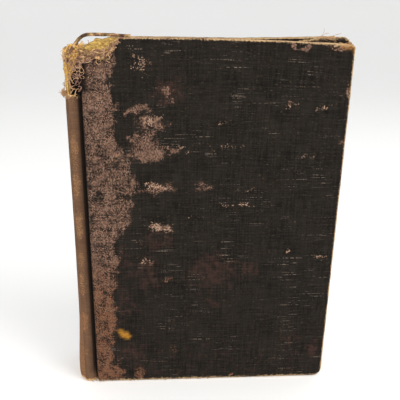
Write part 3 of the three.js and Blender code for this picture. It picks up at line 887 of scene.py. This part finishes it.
def facing(path, side):
    """A plan path turned round for the back of the book, so that its sheet faces outwards."""
    return path if side > 0 else path[::-1]


for end, side in (("front", 1), ("back", -1)):
    path = [(u, side * (depth - FACE)) for u, depth in joint_section]
    joint = upright_sheet(
        end + "_joint_cloth", facing(path, side), spine_rows, spine_brown_cloth, 0.4, shape=joint_shape,
        keep=lambda u, y, z: z < joint_top(side, u), masks=partial(joint_masks, side))
    bend(joint, side, "spine_cloth")

# %% [markdown]
# The card under it is a flexible strip with a long fibre. Bared at the head, it has split, yellowed with
# glue and lost its square end, so its face is pushed about and its top edge is ragged.

# %% Spine card
card_low, card_high = box_mm("spine_inlay")
CARD_HALF = card_high[1]
CARD_RADIUS = ARC_RADIUS - 0.5
CARD_FLAP = [(-5.7, -12.3), (-5.3, -12.75), (-4.8, -13.1), (-4.2, -13.3), (-3.6, -13.4), (-3.0, -13.45),
             *((u, -13.5) for u in (-2.4, -1.8, -1.2, -0.6, 0, 0.5))]


def card_shape(points):
    u, y, z = points.T
    bared = ease(141, 146, z) * ease(8, 4, y)
    swell = 0.05 + bared * (0.1 + 0.45 * uneven(y, z * 0.35, 1.6, 61) + 0.25 * uneven(y, z, 0.9, 62))
    swell = np.clip(swell, 0, 1.0) - 0.12 - flare(z) * ease(13.4, 10, np.abs(y))
    return np.stack([*outward(u, y, swell), z], 1)


def card_kept(u, y, z):
    """The card's head is ragged, and a split flap of it hangs over the shoulder."""
    ragged = float(uneven(y, u, 1.2, 63))
    if y < -CARD_HALF - 0.1:
        return 151.5 + 2.2 * ragged + 1.8 * max(u + 4, 0) < z < 162.4 + 0.6 * ragged
    torn_out = ((y + 2.5) / 5.5) ** 2 + ((z - 144) / 6.5) ** 2 < 1 + 0.9 * float(uneven(y, z, 1.7, 67))
    return z < 160.4 + 0.8 * ragged - 1.2 * max(0, -y - 9.5) and not torn_out


card_path = back_path(np.linspace(CARD_HALF, -CARD_HALF, 61), CARD_RADIUS) + CARD_FLAP
card_rows = [card_low[2], *np.arange(8, 138, 6), *np.arange(138, card_high[2] + 0.01, 0.5)]
bared_card = upright_sheet("bared_spine_card", card_path, card_rows, spine_card, 0.5, card_kept, card_shape)
settle(bared_card, "spine", "spine_inlay")

# %% [markdown]
# ## Leaves
# A prayer book of this size is sewn: sheets are folded and nested, four to a gathering, and the folds
# are sewn through. Each sheet here runs from the fore-edge, round its own fold at the rounded back, and
# out to the fore-edge again, so the book opens on real folded leaves. All share one slight waviness, so
# that neighbours never cross.

# %% Folded gatherings
SHEETS, LEAF = 4, 0.13
SEWN_RADIUS = ARC_CENTRE - box_mm("sewn_backs")[0][0]
leaf_rows = [0, 0.5, 1.5, 12, 35, 60, 80, 100, 124, 147, 157.5, 158.5, 159]
leaf_run = [0.5, 3, 5, 8, 13, 20, 32, 46, 62, 78, 93]


def wavy(u, z):
    return 0.28 * ease(10, 80, u) * uneven(u, z, 48, 71)


def leaf_blend(piece):
    """Bakes a leaf's place into its mesh; it stays where it is built."""
    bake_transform(piece)


def gathering(number):
    node = f"gathering_{number:02d}"
    low, high = box_mm(node)
    middle = (low[1] + high[1]) / 2
    rng = random.Random(number)
    points, faces, flat, rim = [], [], [], []
    for sheet in range(SHEETS):
        half = 0.08 + 0.16 * sheet
        trim_u, trim_z = rng.uniform(-0.12, 0.1), rng.uniform(-0.1, 0.1)
        fore = high[0] - 0.15 + trim_u
        back = float(back_curve(middle, SEWN_RADIUS)) + 0.56 - half
        leaf = [*np.linspace(back + half + 0.2, -0.5, 5)[1:], *leaf_run, fore - 1.2, fore - 0.4, fore]
        bend = [(back + half - half * math.cos(a), -half * math.sin(a)) for a in np.linspace(1.4, -1.4, 5)]
        run = [(u, -half) for u in reversed(leaf)] + bend + [(u, half) for u in leaf]
        run = [(u, middle + v) for u, v in reversed(run)]
        along = lengths_along(run)
        faces += grid_faces(len(leaf_rows), len(run), len(points))
        for row in leaf_rows:
            z = TEXT_LOW + row + trim_z * (row in (0, 0.5, 158.5, 159))
            for (u, y), s in zip(run, along):
                points.append((u, y, z))
                flat.append((s + 31 * number, z))
                rim.append(max(0, 1 - min(fore - u, row, leaf_rows[-1] - row) / 1.3))
    points = np.array(points)
    points[:, 1] += wavy(points[:, 0], points[:, 2])
    piece = make_piece(f"folded_leaves_{number:02d}", points, faces, leaf_paper, flat, {"rim": rim})
    thicken(piece, LEAF)
    leaf_blend(piece)
    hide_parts(node)
    return piece


gatherings = [gathering(number) for number in range(1, 17)]
print(len(gatherings), "gatherings,", len(gatherings) * SHEETS * 2, "leaves")

# %% [markdown]
# A free endpaper follows the first and last leaf, and a pastedown is glued inside each cover and crosses
# the joint, where the front one has torn with the cloth. Both are single sheets, so a path does.

# %% Endpapers


def leaf_rim(points):
    fore = np.max(points[:, 0]) - points[:, 0]
    ends = np.minimum(points[:, 2] - TEXT_LOW, TEXT_HIGH - points[:, 2])
    return {"rim": np.clip(1 - np.minimum(fore, ends) / 1.5, 0, 1)}


def endleaf_shape(points):
    u, y, z = points.T
    return np.stack([u, y + np.clip(wavy(u, z), -0.05, 0.05), z], 1)


end_rows = [TEXT_LOW, TEXT_LOW + 0.6, *np.linspace(TEXT_LOW + 3, TEXT_HIGH - 3, 12), TEXT_HIGH - 0.6, TEXT_HIGH]
for end, side in (("front", 1), ("back", -1)):
    paste_low, paste_high = box_mm(end + "_pastedown")
    run = [-4.9, -4.2, -3.5, -2.8, -2.1, -1.4, -0.7, 0, 1, 2.5, 5, 10, 20, 40, 60, 80, 100,
           *far_edge(paste_high[0], [0, 1])]
    inner = min(abs(paste_low[1]), abs(paste_high[1]))
    path = facing([(u, -side * (inner + 0.2)) for u in run], -side)
    pastedown = upright_sheet(end + "_pastedown_paper", path, end_rows, endleaf_paper, 0.2,
                              keep=lambda u, y, z: u > 10 or z < 140 or y > 0, masks=leaf_rim)
    bend(pastedown, side, "endpaper", end + "_pastedown")

    free_low, free_high = box_mm(end + "_free_endpaper")
    run = [-3.2, -2.4, -1.7, -1, 0, 1, 2, 3, 4, 5, 8, 13, 20, 40, 60, 80, 95,
           *far_edge(free_high[0], [0, 1])]
    outer = max(abs(free_low[1]), abs(free_high[1]))
    path = facing([(u, -side * (outer - 0.02 - 0.12 * ease(0, -3, u))) for u in run], side)
    leaf = upright_sheet(end + "_free_endleaf", path, end_rows, endleaf_paper, 0.2,
                         shape=endleaf_shape, masks=leaf_rim)
    leaf_blend(leaf)
    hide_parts(end + "_free_endpaper")

# %% [markdown]
# Before it is cased in, the sewn back is glued, lined with brown paper and open mull, and the mull's
# flaps run on under the pastedowns. Mull could be a picture of a net, but a sheet turned to wires is a
# real net, with holes that light passes through.

# %% Linings of the back
MULL_THREAD = 0.2
FOLD_STEP, FOLD_HALF = 1.3125, 0.62


def net(name, path):
    """A sheet of open mull, whose squares are turned into crossing threads."""
    rows = np.linspace(mull_low[2], mull_high[2], 112)
    piece = upright_sheet(name, path, rows, mull_cotton, 0)
    apply_modifier(piece, "WIREFRAME", thickness=MULL_THREAD * MM, use_even_offset=False)
    return piece


backs_path = []
for number in range(16):
    middle = 7.5 * FOLD_STEP - FOLD_STEP * number
    for step in np.linspace(FOLD_HALF, -FOLD_HALF, 5):
        u = float(back_curve(middle, SEWN_RADIUS - 0.05)) + 0.35 * (step / FOLD_HALF) ** 2 - 0.03
        backs_path.append((u, middle + step))
backs_rows = np.linspace(TEXT_LOW + 0.4, TEXT_HIGH - 0.4, 24)
glued_backs = upright_sheet("glued_folds", backs_path, backs_rows, lining_paper, 0.06)
settle(glued_backs, "spine", "sewn_backs")

lining_low, lining_high = box_mm("spine_lining")
lining_path = back_path(np.linspace(lining_high[1], lining_low[1], 31), ARC_CENTRE - lining_low[0])
lining_rows = np.linspace(lining_low[2], lining_high[2], 30)
back_lining = upright_sheet("back_lining_paper", lining_path, lining_rows, lining_paper, 0.2)
settle(back_lining, "spine", "spine_lining")

mull_low, mull_high = box_mm("spine_mull")
back_mull = net("back_mull", back_path(np.linspace(10.9, -10.9, 19), ARC_CENTRE - mull_low[0] - 0.12))
settle(back_mull, "spine", "spine_mull")

for end, side in (("front", 1), ("back", -1)):
    flap = net(end + "_joint_mull", [(u, -side * 11.45) for u in np.linspace(-4.2, 19.5, 20)])
    bend(flap, side, "mull", end + "_mull_flap")

# %% [markdown]
# Threads are thin tubes swept along a wandering line. Hair curves would be quicker, but tubes export as
# plain meshes. A helper sweeps many strands into one piece, with the flat map running along each strand
# so that the twist of the thread shows.

# %% Helper: threads
SIDES = 5


def swept_threads(name, strands, material):
    """Each strand is (points, radius at the start, radius at the end), in millimetres."""
    points, faces, flat = [], [], []
    for line, first, last in strands:
        line = np.array(line, float)
        tangent = np.gradient(line, axis=0)
        tangent /= np.maximum(np.linalg.norm(tangent, axis=1), 1e-9)[:, None]
        along = lengths_along(line)
        normal = np.cross(tangent[0], (0.31, 0.83, 0.46))
        start = len(points)
        for k, (spot, direction) in enumerate(zip(line, tangent)):
            normal = normal - direction * np.dot(normal, direction)
            normal /= max(np.linalg.norm(normal), 1e-9)
            binormal = np.cross(direction, normal)
            radius = first + (last - first) * k / (len(line) - 1)
            for side in range(SIDES):
                angle = 2 * math.pi * side / SIDES
                points.append(spot + radius * (math.cos(angle) * normal + math.sin(angle) * binormal))
                flat.append((along[k], side / SIDES * 2 * math.pi * first))
        for k in range(len(line) - 1):
            for side in range(SIDES):
                a, b = start + k * SIDES + side, start + k * SIDES + (side + 1) % SIDES
                faces.append((a, b, b + SIDES, a + SIDES))
        end = start + (len(line) - 1) * SIDES
        faces.append(tuple(start + side for side in reversed(range(SIDES))))
        faces.append(tuple(end + side for side in range(SIDES)))
    return make_piece(name, points, faces, material, flat)


def wander(rng, start, direction, length, curl, drop=0.0, steps=12):
    """A line that leaves start in a direction and curls as it goes; drop bends it down."""
    spot, direction = np.array(start, float), np.array(direction, float)
    direction /= np.linalg.norm(direction)
    spin = np.array([rng.gauss(0, 1) for _ in range(3)]) * curl
    line = [spot.copy()]
    for _ in range(steps):
        spin += np.array([rng.gauss(0, 0.45) for _ in range(3)]) * curl
        direction = direction + np.cross(spin, direction) / steps
        direction[2] -= drop / steps
        direction /= np.linalg.norm(direction)
        spot = spot + direction * length / steps
        line.append(spot.copy())
    return line


# %% [markdown]
# The folds are sewn over three cords and locked by a kettle stitch near each end. A cord is twisted from
# plies, so each is three strands that turn round one another along the rounded back.

# %% Sewing cords and kettle stitches
PLY = 0.15
for node in ("sewing_cord_1", "sewing_cord_2", "sewing_cord_3", "kettle_stitch_head", "kettle_stitch_tail"):
    low, high = box_mm(node)
    middle_z, reach = (low[2] + high[2]) / 2, high[1] - PLY
    ys = np.linspace(reach, -reach, 90)
    strands = []
    for turn in (0, 2.1, 4.2):
        phase = ys * 3.2 + turn
        us = back_curve(ys, ARC_CENTRE - low[0] - 0.27 + 0.1 * np.cos(phase))
        strands.append((np.stack([us, ys, middle_z + 0.34 * np.sin(phase)], 1), PLY, PLY))
    settle(swept_threads(node + "_thread", strands, linen_thread), "spine", node)

# %% [markdown]
# ## The torn head
# The cap of the spine has torn loose. What is left is a rolled strip of cloth that starts at the top of
# the bared card, rises over the corner of the front board and lies just above its head edge. A second
# roll lies along the tear itself. Each is a flattened tube along a line, wider and narrower by noise.

# %% Torn cap strip and rolled edge
STRIP_LINE = [
    (-6.2, -12.3, 156), (-5.2, -13.0, 158.2), (-3.8, -13.6, 160.2), (-2.4, -13.8, 161.9), (-1.3, -13.9, 163.5),
    (-0.2, -13.9, 165.0), (1.3, -13.8, 166.1), (3.2, -13.7, 166.7), (5.5, -13.6, 166.8), (9, -13.5, 166.7),
    (12.5, -13.5, 166.7), (16.5, -13.6, 166.6), (20.5, -13.7, 166.4)]
EDGE_LINE = [(-0.6, -15.2, 160.6), (1, -15.2, 160.1), (3, -15.2, 159.2), (6, -15.2, 158.2),
             (8.5, -15.1, 157.6), (11, -15.0, 157.9)]
ROLL_STEPS, ROLL_SIDES = 70, 14


def rolled_strip(name, line, width, root_width, seed):
    """A narrow band rolled on itself, which grows from its root's width to its own along its length."""
    line = np.array(line)
    steps = np.linspace(0, len(line) - 1, ROLL_STEPS)
    line = np.stack([np.interp(steps, range(len(line)), line[:, k]) for k in range(3)], 1)
    for _ in range(3):
        line[1:-1] = (line[:-2] + 2 * line[1:-1] + line[2:]) / 4
    tangent = np.gradient(line, axis=0)
    tangent /= np.linalg.norm(tangent, axis=1)[:, None]
    along = lengths_along(line)
    points, flat = [], []
    for k in range(ROLL_STEPS):
        out = np.cross(tangent[k], (0, 1, 0))
        out /= np.linalg.norm(out)
        toward = np.cross(out, tangent[k])
        spread = root_width + (width - root_width) * float(ease(8, 34, k))
        spread = spread * (0.75 if k > 60 else 1)
        for side in range(ROLL_SIDES):
            angle = 2 * math.pi * side / (ROLL_SIDES - 1) * 1.12
            bump = 1 + 0.35 * float(uneven(along[k], side * 0.7, 1.6, seed))
            reach = spread * bump * (0.68 if side > ROLL_SIDES - 4 else 1)
            offset = out * math.cos(angle) * reach * 0.5 + toward * math.sin(angle) * reach * 0.75
            points.append(line[k] + offset)
            flat.append((along[k], side * width * 0.45))
    run, across = np.array(flat).T
    # The roll is bared in patches and darkened in patches by painted shade.
    masks = {"bare": np.clip(0.45 + 0.8 * uneven(run, across, 2, 9), 0, 1),
             "sooty": np.clip(1.6 * uneven(run, across, 2.6, 12), 0, 0.8)}
    piece = make_piece(name, points, grid_faces(ROLL_STEPS, ROLL_SIDES), spine_brown_cloth, flat, masks)
    thicken(piece, 0.3)
    return piece


settle(rolled_strip("torn_cap_roll", STRIP_LINE, 0.75, 1.2, 81), "spine", "torn_cap_strip")
settle(rolled_strip("rolled_torn_edge", EDGE_LINE, 0.9, 0.9, 83), "front_cover")

# %% [markdown]
# Torn book cloth frays into single curly threads: tan where the dye never reached, pinkish where it did.
# Each cluster is grown from the torn edge it belongs to, with a fixed seed, and some ride with that edge's
# body.

# %% Helper: frayed threads
fray_rng = random.Random(11)


def between(*ranges):
    """Draws a place or a direction; each entry is a number, or a range to draw from."""
    return lambda rng: [rng.uniform(*entry) if isinstance(entry, tuple) else entry for entry in ranges]


def grow(count, root, direction, length, curl, radius, drop=0.0):
    """Count strands; root and direction are functions of a random number source."""
    strands = []
    for _ in range(count):
        run = fray_rng.uniform(*length)
        line = wander(fray_rng, root(fray_rng), direction(fray_rng), run, curl, drop)
        strands.append((np.array(line), radius * fray_rng.uniform(0.7, 1.15), radius * 0.5))
    return strands


def hold_inside(strands, low_y, high_y, ceiling=lambda u: 168.6):
    """Keeps strands within a slice of y, so none pokes through a neighbour, and under a height."""
    for line, first, last in strands:
        line[:, 1] = np.clip(line[:, 1], low_y, high_y)
        line[:, 2] = np.minimum(line[:, 2], ceiling(line[:, 0]))
    return strands


print("threads are grown from seed 11")

# %% [markdown]
# The edge of the tear over the board is the most frayed: tan and pink threads stand off it, and a few
# twisted ropes lie across it. At the corner a mass of threads spills out. Both are held below a slanting
# line, so that the rolled cap stays in sight above them. Down in the hollow, threads curl every way.

# %% Threads of the tear
RAISED, SUNK = -FACE - 0.5, -FACE + 0.45


def on_tear(rng):
    s = rng.uniform(0.5, TEAR_WIDTH)
    return (s, -FACE + rng.uniform(-0.1, 0.3), tear_line(s) + rng.uniform(-0.6, 0.3))


def in_hollow(rng):
    return (rng.uniform(-4.8, 2.2), -FACE + rng.uniform(0.2, 1.4), rng.triangular(145, 157.5, 156))


def tear_ceiling(u):
    return np.minimum(166.2, 161 + 0.5 * np.maximum(u - 7, 0))


def corner_ceiling(u):
    return np.minimum(164.5, 161.5 + 0.7 * (u + 5.5))


over_board = between((-1, 1), (-0.25, -0.02), (-0.7, 0.9))
any_way = between((-1, 1), (-0.5, 0.2), (-1, 1))
frays_tan = grow(60, on_tear, over_board, (2, 7), 2.6, 0.18)
frays_pink = grow(50, on_tear, over_board, (1.5, 6), 3, 0.19)
ropes = grow(16, between((-1.5, 9), -FACE - 0.2, (156.5, 160.5)), between(1, (-0.1, 0.05), (-0.35, 0.5)),
             (4, 9), 1.3, 0.27)
corner_mass = grow(100, between((-5.5, 1.8), (-14.2, -13.2), (158.5, 163.5)), between((-0.6, 1), 0, (-1, 0.3)),
                   (2, 6), 1.6, 0.18)
corner_mass = hold_inside(corner_mass, -14.5, -12.8, corner_ceiling)
for name, strands, material in (("tan", corner_mass[:34], tan_thread), ("gold", corner_mass[34:], gold_thread)):
    settle(swept_threads("corner_mass_threads_" + name, strands, material), "spine")
for name, strands, material in (("tan", frays_tan + ropes[11:], tan_thread),
                                ("pink", frays_pink + ropes[:11], pink_thread)):
    strands = hold_inside(strands, RAISED - 0.05, SUNK, tear_ceiling)
    settle(swept_threads("head_tear_threads_" + name, strands, material), "front_cover")
hollow_pink = grow(48, in_hollow, any_way, (3, 9), 3.4, 0.17)
hollow_tan = grow(20, in_hollow, any_way, (3, 9), 3, 0.17)
for name, strands, material in (("pink", hollow_pink, pink_thread), ("tan", hollow_tan, tan_thread)):
    strands = hold_inside(strands, RAISED, -12.2)
    bend(swept_threads("hollow_threads_" + name, strands, material), 1, "cover_cloth")

# %% [markdown]
# Where the card is bared, long fibres of glue-stained thread hang down it in bundles, and short ones
# stand along the torn edge of the spine cloth. They are drawn in to the rounded back, so that they lie
# on it as glued fibres do.

# %% Fibre bundles on the bared spine


def on_card(low, high):
    def draw(rng):
        y = rng.uniform(-12.9, -4)
        return (float(back_curve(y, ARC_RADIUS + rng.uniform(-0.5, 0.3))), y, rng.uniform(low, high))
    return draw


def on_wisp(rng):
    u = float(back_curve(-9, ARC_RADIUS)) + rng.uniform(-0.5, 0.4)
    return (u, rng.uniform(-11.5, -6), rng.uniform(141.5, 144))


def on_spine_edge(rng):
    y = rng.uniform(-13, 2)
    return (float(back_curve(y, ARC_RADIUS)), y, float(spine_tear(y)) - 0.3)


def hug(strands, stand_off):
    """Draws strands in to the rounded back, so that they stand off it by no more than a little."""
    for line, first, last in strands:
        out = np.hypot(line[:, 0] - ARC_CENTRE, line[:, 1])
        limit = np.maximum(stand_off - 1.2 * ease(157, 149, line[:, 2]), -1.45)
        scale = np.clip(out, ARC_RADIUS - 1.5, ARC_RADIUS + limit) / out
        line[:, 0] = ARC_CENTRE + (line[:, 0] - ARC_CENTRE) * scale
        line[:, 1] = line[:, 1] * scale
    return strands


downward = between((-0.06, 0.1), (-0.2, 0.15), -1)
bundle_gold = hug(grow(56, on_card(156, 161), downward, (2.5, 7), 0.8, 0.2, 0.3), -0.9)
bundle_tan = hug(grow(66, on_card(150, 160), downward, (5, 14), 0.8, 0.19, 0.3), -0.8)
bundle_pink = hug(grow(44, on_card(148, 158), downward, (3, 9), 0.9, 0.18, 0.3), -0.75)
wisp = grow(26, on_wisp, between(-1, (-0.3, 0.6), (0.1, 0.9)), (0.8, 2.6), 1.4, 0.13)
edge_frays = grow(60, on_spine_edge, between((-0.5, 0.3), (-0.5, 0.5), 1), (0.8, 2.6), 2.5, 0.14)
for name, strands, material in (("card_fibres_gold", bundle_gold, gold_thread),
                                ("card_fibres_tan", bundle_tan + wisp, tan_thread),
                                ("card_fibres_pink", bundle_pink, pink_thread),
                                ("spine_tear_threads", edge_frays, tan_thread)):
    settle(swept_threads(name, strands, material), "spine")

# %% [markdown]
# At the fore-edge corner the turned-in cloth has lifted off the board and stands behind its head edge,
# with tufts of bare thread on the corner and a few long hairs. A strip with a wavy top is enough for it.

# %% Worn fore-edge corner


def lifted_top(u):
    lift = 2.7 * ease(82, 106, u) - 2.2 * ease(110, 113.4, u)
    return 164.6 + lift + 0.25 * uneven(u, 0, 1.3, 91)


def lifted_wear(points):
    u, y, z = points.T
    return {"bare": np.clip(1 - (lifted_top(u) - z) / 1.6, 0, 1) * 0.8, "rubbed": np.full(len(u), 0.5)}


def at_corner(rng):
    u = rng.uniform(105, 113.4)
    worn_down = 1.2 * float(ease(111, 114, u))
    return (u, -FACE + rng.uniform(-0.1, 1.8), HEIGHT - 1.5 + rng.uniform(-1, 0.2) - worn_down)


inner_face = -FACE + COVER_THICK - 0.2
lifted_path = [(u, inner_face + 0.5 * float(ease(95, 113, u))) for u in np.arange(82, 113.4, 0.6)]
lifted_turn_in = upright_sheet(
    "lifted_turn_in", lifted_path, np.arange(160, 168, 0.35), charcoal_cloth, 0.4,
    keep=lambda u, y, z: z < lifted_top(u), masks=lifted_wear)
settle(lifted_turn_in, "front_cover")
tufts = grow(40, at_corner, between((-1, 0.8), (-0.3, 0.2), (-0.6, 0.5)), (0.8, 2.6), 3, 0.15)
hairs = grow(9, between((98, 103), -FACE + 3.0, 166.6), between(1, (-0.1, 0.1), (0.25, 0.8)),
             (3.5, 6.5), 1.0, 0.13, 0.25)
corner_threads = hold_inside(tufts + hairs, -FACE - 0.3, -FACE + 3.2, lambda u: 171)
settle(swept_threads("head_corner_threads", corner_threads, tan_thread), "front_cover")

# %% [markdown]
# The tail edge rubs on the shelf each time the book is put back, so short fibres stand out along it.
# They start on the outer side of the cloth, so they are seen, and are held above the floor.

# %% Frayed tail edge
LOWEST = 0.14


def at_tail(rng):
    u = rng.uniform(-5.5, 62)
    return (u, -FACE + rng.uniform(0.3, 0.8) + 0.8 * (u < 0), rng.uniform(0.2, 0.8))


tail_frays = grow(90, at_tail, between((-1, 1), (-0.5, 0.05), (-0.15, 0.35)), (0.8, 2.4), 2.5, 0.13)
tail_frays = [(np.maximum(line, (-99, -99, LOWEST)), first, last) for line, first, last in tail_frays]
tail_frays = hold_inside(tail_frays, -FACE - 0.4, -FACE + 1.8)
bend(swept_threads("tail_edge_threads", tail_frays, tan_thread), 1, "cover_cloth")

# %% [markdown]
# ## Floor and light
# The book stands on a pale studio floor that curves up into its own backdrop, as a roll of backdrop paper
# does. A flat plane would show a horizon. The profile is turned round an upright axis, in metres.

# %% Floor
PROFILE = [(0, 0), (0.25, 0), (0.5, 0), (0.9, 0), (1.4, 0), (1.8, 0.03), (2.2, 0.14), (2.6, 0.4), (2.9, 0.9),
           (3.0, 1.5)]
SPOKES = 64
JUST_BELOW = 0.0002
floor_points, floor_faces = [], []
for reach, rise in PROFILE:
    for spoke in range(SPOKES):
        angle = 2 * math.pi * spoke / SPOKES
        floor_points.append((reach * math.cos(angle), reach * math.sin(angle), rise - JUST_BELOW))
for r in range(len(PROFILE) - 1):
    for spoke in range(SPOKES):
        a, b = r * SPOKES + spoke, r * SPOKES + (spoke + 1) % SPOKES
        floor_faces.append((a, a + SPOKES, b + SPOKES, b))
floor_mesh = bpy.data.meshes.new("studio_floor")
floor_mesh.from_pydata(floor_points, [], floor_faces)
floor_mesh.polygons.foreach_set("use_smooth", [True] * len(floor_mesh.polygons))
floor = bpy.data.objects.new("studio_floor", floor_mesh)
bpy.context.scene.collection.objects.link(floor)
white_paint = bpy.data.materials.new("matt_white_paint")
white_paint.use_nodes = True
paint_inputs = white_paint.node_tree.nodes["Principled BSDF"].inputs
paint_inputs["Base Color"].default_value = linear("f3f2f1")
paint_inputs["Roughness"].default_value = 0.8
floor_mesh.materials.append(white_paint)
floor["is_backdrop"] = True
print("floor reaches", PROFILE[-1][0], "m and rises", PROFILE[-1][1], "m")

# %% [markdown]
# Two soft boxes stand for a studio: one from the upper right, and a wider one in front, a little to the
# left. The room itself is bright and even, so the shadow is faint and lies to the left. Sharp lamps
# would bring out the weave more, but a dull, dark cloth reads best in soft light.

# %% Lights
AIM = Vector((0, 0, 0.08))
world = bpy.data.worlds.new("room")
bpy.context.scene.world = world
world.use_nodes = True
room = world.node_tree.nodes["Background"].inputs
room["Color"].default_value = linear("f7f9fa")
room["Strength"].default_value = 0.9


def soft_light(name, where, size, power):
    data = bpy.data.lights.new(name, "AREA")
    data.shape = "DISK"
    data.size = size
    data.energy = power
    data.color = linear("fffdfa")[:3]
    lamp = bpy.data.objects.new(name, data)
    bpy.context.scene.collection.objects.link(lamp)
    lamp.location = where
    lamp.rotation_euler = (AIM - lamp.location).to_track_quat("-Z", "Y").to_euler()


soft_light("key_softbox", (0.7, -0.5, 0.9), 0.7, 7.2)
soft_light("front_softbox", (-0.15, -1.1, 0.95), 0.9, 9)

# %% [markdown]
# Threads stand out past the plain shapes of the frame, so the box of what was built is printed.

# %% Size of what was built
low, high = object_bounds()
print("visual box in mm:", [round(v / MM, 1) for v in (*low, *high)])
